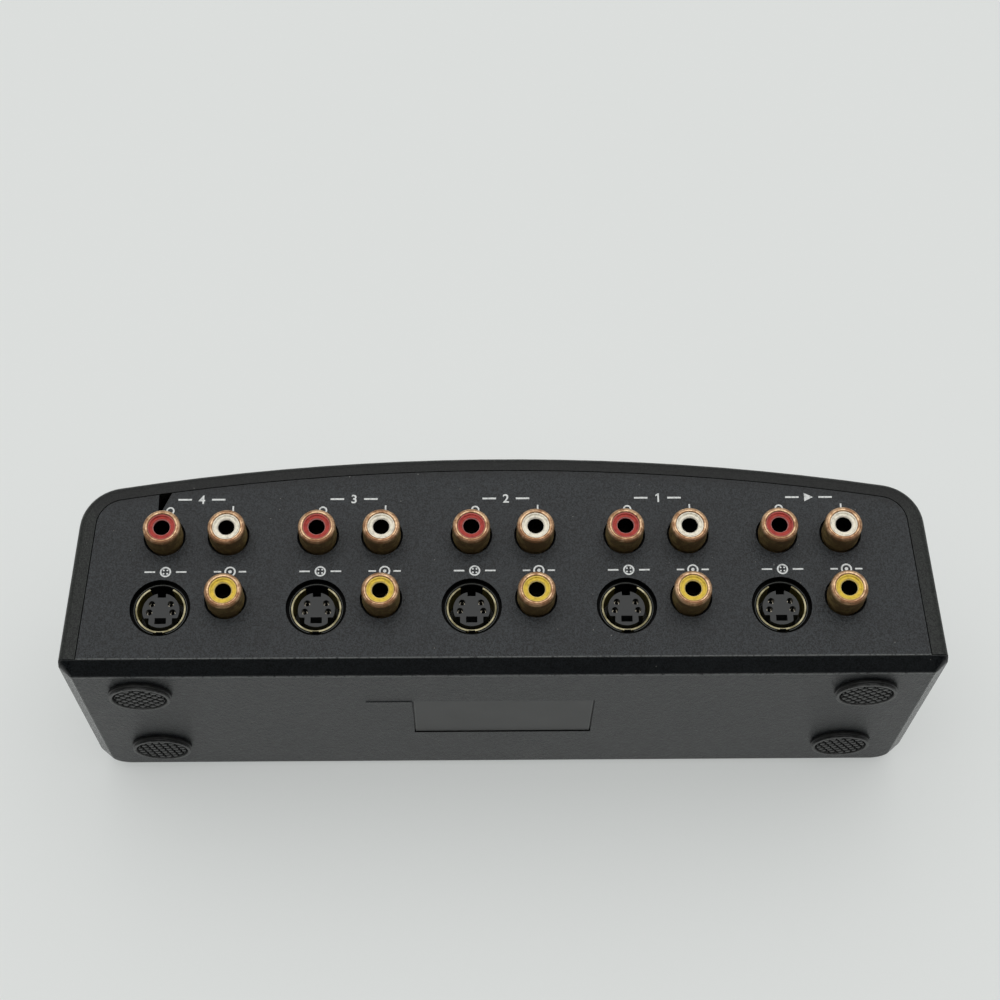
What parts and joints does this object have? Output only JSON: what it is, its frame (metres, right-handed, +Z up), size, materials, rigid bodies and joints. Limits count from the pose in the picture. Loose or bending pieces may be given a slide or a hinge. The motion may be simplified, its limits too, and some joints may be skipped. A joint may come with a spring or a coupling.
{
  "type": "audio video selector switch",
  "caption": "Desktop selector switch with push buttons in front and rows of phono and S-video jacks on its rear, in an arched two-part case on rubber feet.",
  "frame": {"origin": "centre of the bounding box at its bottom, where the feet stand", "axes": "+Z up, front with the buttons towards -Y, rear with the jacks towards +Y, +X to the left seen from behind"},
  "size_m": [0.1908, 0.0694, 0.0523],
  "materials": {
    "case_plastic": "fine spark-eroded grain",
    "cover_plastic": "fine spark-eroded grain",
    "label_film": "smooth film, left blank",
    "fascia_plastic": "smooth",
    "button_plastic": "satin",
    "foot_rubber": "moulded tread",
    "housing_plastic": "plain moulding",
    "gold_plate": "gold plated, tarnished",
    "red_plastic": "moulded",
    "white_plastic": "moulded",
    "yellow_plastic": "moulded",
    "insulator_grey": "moulded",
    "contact_metal": "plated",
    "board_laminate": "brown paper laminate",
    "header_plastic": "moulded",
    "cable_plastic": "flat ribbon",
    "sheet_steel": "zinc plated",
    "screw_steel": "zinc plated",
    "spring_steel": "drawn wire",
    "plunger_plastic": "moulded",
    "block_plastic": "moulded"
  },
  "bodies": {
    "case": {"lower_case": "case_plastic", "blank_label": "label_film", "upper_case": "cover_plastic", "front_fascia": "fascia_plastic", "case_screws": "screw_steel", "jack_board": "board_laminate", "jack_board_screws": "screw_steel", "switch_board": "board_laminate", "switch_board_screws": "screw_steel", "ribbon_cable": "cable_plastic", "ribbon_headers": "header_plastic", "switch_frame": "sheet_steel", "latch_spring": "spring_steel", "red_inserts": "red_plastic", "white_inserts": "white_plastic", "yellow_inserts": "yellow_plastic", "centre_contacts": "contact_metal", "svideo_contacts": "contact_metal", "foot_rear_left": "foot_rubber", "foot_rear_right": "foot_rubber", "foot_front_left": "foot_rubber", "foot_front_right": "foot_rubber", "output_jack_housing": "housing_plastic", "output_phono_shells": "gold_plate", "output_svideo_shield": "gold_plate", "output_svideo_insert": "insulator_grey", "input_1_jack_housing": "housing_plastic", "input_1_phono_shells": "gold_plate", "input_1_svideo_shield": "gold_plate", "input_1_svideo_insert": "insulator_grey", "input_2_jack_housing": "housing_plastic", "input_2_phono_shells": "gold_plate", "input_2_svideo_shield": "gold_plate", "input_2_svideo_insert": "insulator_grey", "input_3_jack_housing": "housing_plastic", "input_3_phono_shells": "gold_plate", "input_3_svideo_shield": "gold_plate", "input_3_svideo_insert": "insulator_grey", "input_4_jack_housing": "housing_plastic", "input_4_phono_shells": "gold_plate", "input_4_svideo_shield": "gold_plate", "input_4_svideo_insert": "insulator_grey", "return_spring_1": "spring_steel", "contact_block_1": "block_plastic", "return_spring_2": "spring_steel", "contact_block_2": "block_plastic", "return_spring_3": "spring_steel", "contact_block_3": "block_plastic", "return_spring_4": "spring_steel", "contact_block_4": "block_plastic"},
    "selector_1": {"button_1": "button_plastic", "plunger_1": "plunger_plastic"},
    "selector_2": {"button_2": "button_plastic", "plunger_2": "plunger_plastic"},
    "selector_3": {"button_3": "button_plastic", "plunger_3": "plunger_plastic"},
    "selector_4": {"button_4": "button_plastic", "plunger_4": "plunger_plastic"},
    "latch": {"latch_bar": "sheet_steel"}
  },
  "joints": [
    {"name": "press_1", "type": "slide", "parent": "case", "child": "selector_1", "axis": [0, 1, 0], "range_m": [0, 0.0035], "stiffness_N_per_m": 250, "springref_m": -0.004, "deforming": ["return_spring_1"]},
    {"name": "press_2", "type": "slide", "parent": "case", "child": "selector_2", "axis": [0, 1, 0], "range_m": [0, 0.0035], "stiffness_N_per_m": 250, "springref_m": -0.004, "deforming": ["return_spring_2"]},
    {"name": "press_3", "type": "slide", "parent": "case", "child": "selector_3", "axis": [0, 1, 0], "range_m": [0, 0.0035], "stiffness_N_per_m": 250, "springref_m": -0.004, "deforming": ["return_spring_3"]},
    {"name": "press_4", "type": "slide", "parent": "case", "child": "selector_4", "axis": [0, 1, 0], "range_m": [0, 0.0035], "stiffness_N_per_m": 250, "springref_m": -0.004, "deforming": ["return_spring_4"]},
    {"name": "latch_slide", "type": "slide", "parent": "case", "child": "latch", "axis": [1, 0, 0], "range_m": [0, 0.0012], "stiffness_N_per_m": 200, "springref_m": 0.004, "deforming": ["latch_spring"]}
  ]
}
